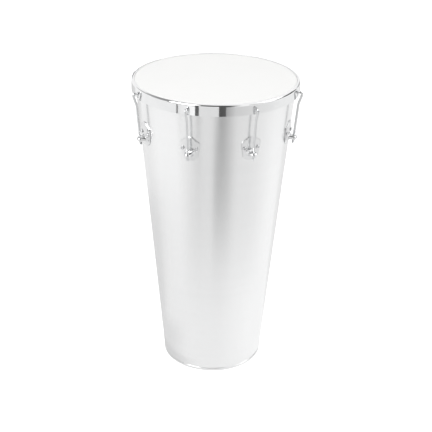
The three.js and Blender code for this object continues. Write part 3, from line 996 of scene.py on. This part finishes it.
# %% Helpers for shader groups
def new_group(name, inputs, outputs):
    """A shader group with number inputs, and its in and out nodes."""
    group = bpy.data.node_groups.new(name, "ShaderNodeTree")
    for label, value in inputs.items():
        group.interface.new_socket(label, in_out="INPUT", socket_type="NodeSocketFloat").default_value = value
    for label in outputs:
        group.interface.new_socket(label, in_out="OUTPUT", socket_type="NodeSocketFloat")
    return group, group.nodes.new("NodeGroupInput"), group.nodes.new("NodeGroupOutput")


def object_place(tree):
    """The place on the object, in metres."""
    return add(tree, "ShaderNodeTexCoord").outputs["Object"]


def scaled(tree, place, factors):
    """A place times a factor for each direction."""
    return add(tree, "ShaderNodeVectorMath", {0: place, 1: factors}, operation="MULTIPLY").outputs[0]


def stretched_place(tree, across, along):
    """The place on the object times one scale round the drum and another up it."""
    scale = add(tree, "ShaderNodeCombineXYZ", {"X": across, "Y": across, "Z": along})
    return scaled(tree, object_place(tree), scale.outputs[0])


def noise(tree, place, scale, detail, **more):
    """Cloudy noise from 0 to 1."""
    inputs = {"Vector": place, "Scale": scale, "Detail": detail, **more}
    return add(tree, "ShaderNodeTexNoise", inputs).outputs["Fac"]


print("helpers: new_group, object_place, scaled, stretched_place, noise")

# %% [markdown]
# The grain of drawn or rolled metal is noise that is stretched along one direction: little change
# round the drum, and much change up it, or the other way round on a rod. Smudges are soft clouds.

# %% Grain and smudges
def grain_group():
    """Grain of drawn or rolled metal, fine and broad."""
    group, take, give = new_group("drawn_grain", {"Round": 8.0, "Up": 2500.0}, ["Fine", "Broad"])
    place = stretched_place(group, take.outputs["Round"], take.outputs["Up"])
    wide = scaled(group, place, (0.25, 0.25, 0.06))
    group.links.new(noise(group, place, 1.0, 4.0, Roughness=0.6), give.inputs["Fine"])
    group.links.new(noise(group, wide, 1.0, 2.0), give.inputs["Broad"])
    return group


def smudge_group():
    """Soft clouds, softer with a larger Softness."""
    group, take, give = new_group("smudges", {"Scale": 20.0, "Softness": 0.3}, ["Mask"])
    cloud = noise(group, object_place(group), take.outputs["Scale"], 5.0, Roughness=0.55, Distortion=0.6)
    low = calc(group, "SUBTRACT", 0.5, take.outputs["Softness"])
    high = calc(group, "ADD", 0.5, take.outputs["Softness"])
    group.links.new(ramp(group, cloud, low, high, kind="SMOOTHSTEP"), give.inputs["Mask"])
    return group


GROUPS = {"grain": grain_group(), "smudges": smudge_group()}
print("groups", sorted(GROUPS))

# %% [markdown]
# Scratches are the thin lines where a stretched noise passes through one half. Patches of a coarser
# noise keep them in some places only. Wear at the foot is a speckle in the lowest few millimetres of
# the shell, where the drum is set down.

# %% Scratches and foot wear
def scratch_group():
    """Thin scratches, where a patch is above Share."""
    inputs = {"Round": 40.0, "Up": 300.0, "Width": 0.006, "Share": 0.5}
    group, take, give = new_group("scratches", inputs, ["Mask"])
    place = stretched_place(group, take.outputs["Round"], take.outputs["Up"])
    off = calc(group, "ABSOLUTE", calc(group, "SUBTRACT", noise(group, place, 1.0, 1.0, Distortion=0.4), 0.5))
    thin = ramp(group, off, 0.0, take.outputs["Width"], 1.0, 0.0)
    share = take.outputs["Share"]
    patches = noise(group, object_place(group), 25.0, 2.0)
    kept = ramp(group, patches, share, calc(group, "ADD", share, 0.12), kind="SMOOTHSTEP")
    group.links.new(calc(group, "MULTIPLY", thin, kept), give.inputs["Mask"])
    return group


def foot_wear_group():
    """Speckles that fade out at a height above the floor."""
    group, take, give = new_group("foot_wear", {"Height": 0.006}, ["Mask"])
    place = object_place(group)
    height = add(group, "ShaderNodeSeparateXYZ", {0: place}).outputs["Z"]
    low = ramp(group, height, 0.0, take.outputs["Height"], 1.0, 0.0)
    spots = ramp(group, noise(group, place, 320.0, 4.0), 0.42, 0.62)
    group.links.new(calc(group, "MULTIPLY", low, spots), give.inputs["Mask"])
    return group


GROUPS.update(scratches=scratch_group(), foot=foot_wear_group())
print("groups", sorted(GROUPS))

# %% [markdown]
# A finish starts from one shader with its plain values on its own sockets. What changes over the
# surface is mixed from the groups: the base colour between two close colours, the roughness between
# two values, and a height that a bump node turns into a normal.

# %% Helpers for finishes
def finish(name, **sockets):
    """A material and its shader with the plain values set."""
    material = bpy.data.materials.new(name)
    material.use_nodes = True
    shader = material.node_tree.nodes["Principled BSDF"]
    for label, value in sockets.items():
        shader.inputs[label.replace("_", " ")].default_value = value
    return material, material.node_tree, shader


def effect(tree, name, output="Mask", **values):
    """A group placed in a material with its own values."""
    node = tree.nodes.new("ShaderNodeGroup")
    node.node_tree = GROUPS[name]
    for label, value in values.items():
        node.inputs[label].default_value = value
    return node.outputs[output]


def tint(tree, mask, first, second):
    """A colour that goes from the first to the second with a mask. Either may come from a node."""
    start, end = ((*value, 1) if isinstance(value, tuple) else value for value in (first, second))
    node = add(tree, "ShaderNodeMix", {"Factor": mask, "A": start, "B": end}, data_type="RGBA")
    return node.outputs["Result"]


def sum_of(tree, *parts):
    """The sum of values, each times its weight."""
    total = None
    for socket, weight in parts:
        part = calc(tree, "MULTIPLY", socket, weight)
        total = part if total is None else calc(tree, "ADD", total, part)
    return total


def colour(tree, shader, mask, first, second):
    """Base colour between two colours."""
    tree.links.new(tint(tree, mask, first, second), shader.inputs["Base Color"])


def gloss(tree, shader, mask, low, high):
    """Roughness between two values."""
    tree.links.new(ramp(tree, mask, 0.0, 1.0, low, high), shader.inputs["Roughness"])


def bump(tree, shader, height, depth):
    """Raises the surface by a height from 0 to 1 times a depth in metres."""
    node = add(tree, "ShaderNodeBump", {"Height": height, "Distance": depth, "Strength": 1.0})
    tree.links.new(node.outputs[0], shader.inputs["Normal"])


print("helpers: finish, effect, tint, sum_of, colour, gloss, bump")

# %% [markdown]
# The shell's aluminium is satin: it is drawn through rollers, so its grain runs round the drum. Such
# a grain spreads a reflection up and down and keeps it crisp from side to side. That is anisotropy,
# with its direction taken from the drum's axis. The sheet's weld is ground flat and polished over,
# and shows at the back as a faint line. The folded foot is scuffed from being set down.

# %% Satin aluminium of the shell
SEAM_NEAR, SEAM_FAR = 0.0004, 0.0022  # the seam fades out between these distances from its middle
shell_metal, tree, shader = finish("satin_aluminium", Metallic=1.0, Anisotropic=0.7, Anisotropic_Rotation=0.25)
around = add(tree, "ShaderNodeTangent", direction_type="RADIAL", axis="Z")
tree.links.new(around.outputs[0], shader.inputs["Tangent"])
fine = effect(tree, "grain", "Fine", Round=9.0, Up=2600.0)
broad = effect(tree, "grain", "Broad", Round=9.0, Up=2600.0)
smudge = effect(tree, "smudges", Scale=9.0, Softness=0.22)
scratch = effect(tree, "scratches", Round=18.0, Up=420.0, Width=0.004, Share=0.58)
scuff = effect(tree, "foot", Height=0.007)

place = add(tree, "ShaderNodeSeparateXYZ", {0: object_place(tree)}).outputs
beside = ramp(tree, calc(tree, "ABSOLUTE", place["X"]), SEAM_NEAR, SEAM_FAR, 1.0, 0.0, "SMOOTHSTEP")
seam = calc(tree, "MULTIPLY", beside, calc(tree, "GREATER_THAN", place["Y"], 0.0))

sheet_colour = tint(tree, sum_of(tree, (fine, 0.5), (broad, 0.5)), (0.89, 0.893, 0.895), (0.955, 0.957, 0.96))
colour(tree, shader, sum_of(tree, (scuff, 0.55), (seam, 0.3)), sheet_colour, (0.58, 0.58, 0.57))
dull = sum_of(tree, (fine, 0.08), (smudge, 0.05), (scratch, 0.12), (scuff, 0.2), (seam, 0.12))
gloss(tree, shader, dull, 0.22, 0.55)
bump(tree, shader, sum_of(tree, (fine, 0.5), (scratch, -0.6), (scuff, -0.8), (seam, 0.8)), 0.00002)
print("satin aluminium with", len(tree.nodes), "nodes")

# %% [markdown]
# The film is milky plastic with a fine tooth, like etched glass. Hands polish its middle, where the
# tooth wears down and the surface is a little glossier. The colour stays below pure white, so that
# the head still shows shading.

# %% Milky film
film, tree, shader = finish("milky_film")
cloud = effect(tree, "smudges", Scale=14.0, Softness=0.35)
scratch = effect(tree, "scratches", Round=35.0, Up=35.0, Width=0.003, Share=0.58)
place = object_place(tree)
off_centre = add(tree, "ShaderNodeVectorMath", {0: scaled(tree, place, (1, 1, 0))}, operation="LENGTH")
played = ramp(tree, off_centre.outputs["Value"], 0.06, 0.15, 1.0, 0.0, "SMOOTHSTEP")
tooth = noise(tree, place, 1800.0, 3.0)
colour(tree, shader, sum_of(tree, (cloud, 0.6), (tooth, 0.4)), (0.93, 0.93, 0.92), (0.955, 0.955, 0.945))
gloss(tree, shader, sum_of(tree, (cloud, 0.35), (scratch, 0.5), (played, -0.5)), 0.46, 0.62)
bump(tree, shader, sum_of(tree, (tooth, 0.7), (scratch, -0.5)), 0.00003)
print("milky film with", len(tree.nodes), "nodes")

# %% [markdown]
# The hoop is polished and then chromed, so it is nearly a perfect mirror. What makes it real is that
# it isn't quite: the rolled band waves by about a tenth of a millimetre, the polish left far finer
# lines round it, and fingers left faint prints.

# %% Mirror chrome of the hoop
hoop_chrome, tree, shader = finish("hoop_chrome", Metallic=1.0)
fine = effect(tree, "grain", "Fine", Round=14.0, Up=3500.0)
prints = effect(tree, "smudges", Scale=34.0, Softness=0.16)
scratch = effect(tree, "scratches", Round=90.0, Up=420.0, Width=0.004, Share=0.6)
wave = noise(tree, stretched_place(tree, 7.0, 3.0), 1.0, 1.0)
colour(tree, shader, sum_of(tree, (prints, 0.7), (fine, 0.3)), (0.86, 0.865, 0.87), (0.90, 0.903, 0.907))
gloss(tree, shader, sum_of(tree, (fine, 0.15), (prints, 0.25), (scratch, 0.6)), 0.035, 0.16)
bump(tree, shader, sum_of(tree, (wave, 1.0), (fine, 0.004), (scratch, -0.01)), 0.0002)
print("hoop chrome with", len(tree.nodes), "nodes")

# %% [markdown]
# The rods and nuts are chromed over drawn bar, so their grain runs along the rod. The brackets are
# chromed over pressed sheet, which stays slightly pebbled where the press stretched it, like the
# skin of an orange. Both are a little less clear than the hoop.

# %% Chrome of the small pieces
rod_chrome, tree, shader = finish("rod_chrome", Metallic=1.0)
drawn = effect(tree, "grain", "Fine", Round=1800.0, Up=20.0)
prints = effect(tree, "smudges", Scale=60.0, Softness=0.2)
colour(tree, shader, sum_of(tree, (prints, 0.6), (drawn, 0.4)), (0.77, 0.775, 0.785), (0.83, 0.835, 0.84))
gloss(tree, shader, sum_of(tree, (drawn, 0.4), (prints, 0.5)), 0.06, 0.2)
bump(tree, shader, drawn, 0.000006)

bracket_chrome, tree, shader = finish("bracket_chrome", Metallic=1.0)
peel = noise(tree, object_place(tree), 420.0, 2.0)
prints = effect(tree, "smudges", Scale=45.0, Softness=0.2)
colour(tree, shader, sum_of(tree, (prints, 0.6), (peel, 0.4)), (0.82, 0.825, 0.83), (0.89, 0.893, 0.897))
gloss(tree, shader, sum_of(tree, (peel, 0.3), (prints, 0.6)), 0.09, 0.26)
bump(tree, shader, peel, 0.00002)
print("rod chrome and bracket chrome")

# %% [markdown]
# The hidden metal is plainer. Screws, washers and nut plates are steel with bright zinc, which dries
# in cloudy patches. The flesh hoop's channel is aluminium straight from the mill, with grain along
# its length.

# %% Zinc and mill aluminium
zinc, tree, shader = finish("bright_zinc", Metallic=1.0)
patches = effect(tree, "smudges", Scale=160.0, Softness=0.25)
crystals = add(tree, "ShaderNodeTexVoronoi", {"Vector": object_place(tree), "Scale": 900.0}).outputs["Distance"]
colour(tree, shader, patches, (0.74, 0.745, 0.755), (0.84, 0.845, 0.85))
gloss(tree, shader, sum_of(tree, (patches, 0.6), (crystals, 0.4)), 0.24, 0.42)
bump(tree, shader, crystals, 0.00002)

mill, tree, shader = finish("mill_aluminium", Metallic=1.0)
fine = effect(tree, "grain", "Fine", Round=12.0, Up=2000.0)
prints = effect(tree, "smudges", Scale=30.0, Softness=0.3)
colour(tree, shader, sum_of(tree, (fine, 0.6), (prints, 0.4)), (0.68, 0.685, 0.69), (0.80, 0.803, 0.806))
gloss(tree, shader, sum_of(tree, (fine, 0.5), (prints, 0.5)), 0.3, 0.48)
bump(tree, shader, fine, 0.00002)
print("bright zinc and mill aluminium")

# %% [markdown]
# Each kind of piece has one finish, and a piece's name begins with its kind. The solids that the
# pieces replace are hidden and keep their own plain materials.

# %% Finishes on the pieces
DRESS = {"shell_sheet": shell_metal, "head_skin": film, "flesh_channel": mill, "hoop_band": hoop_chrome,
         "hook_rod": rod_chrome, "nut_hex": rod_chrome, "bracket_press": bracket_chrome,
         "washer_disc": zinc, "screw_pan": zinc, "plate_strip": zinc}
dressed = 0
for piece in scene.objects:
    for start, material in DRESS.items():
        if piece.type == "MESH" and piece.name.startswith(start):
            piece.data.materials.clear()
            piece.data.materials.append(material)
            dressed += 1
print("dressed", dressed, "pieces")
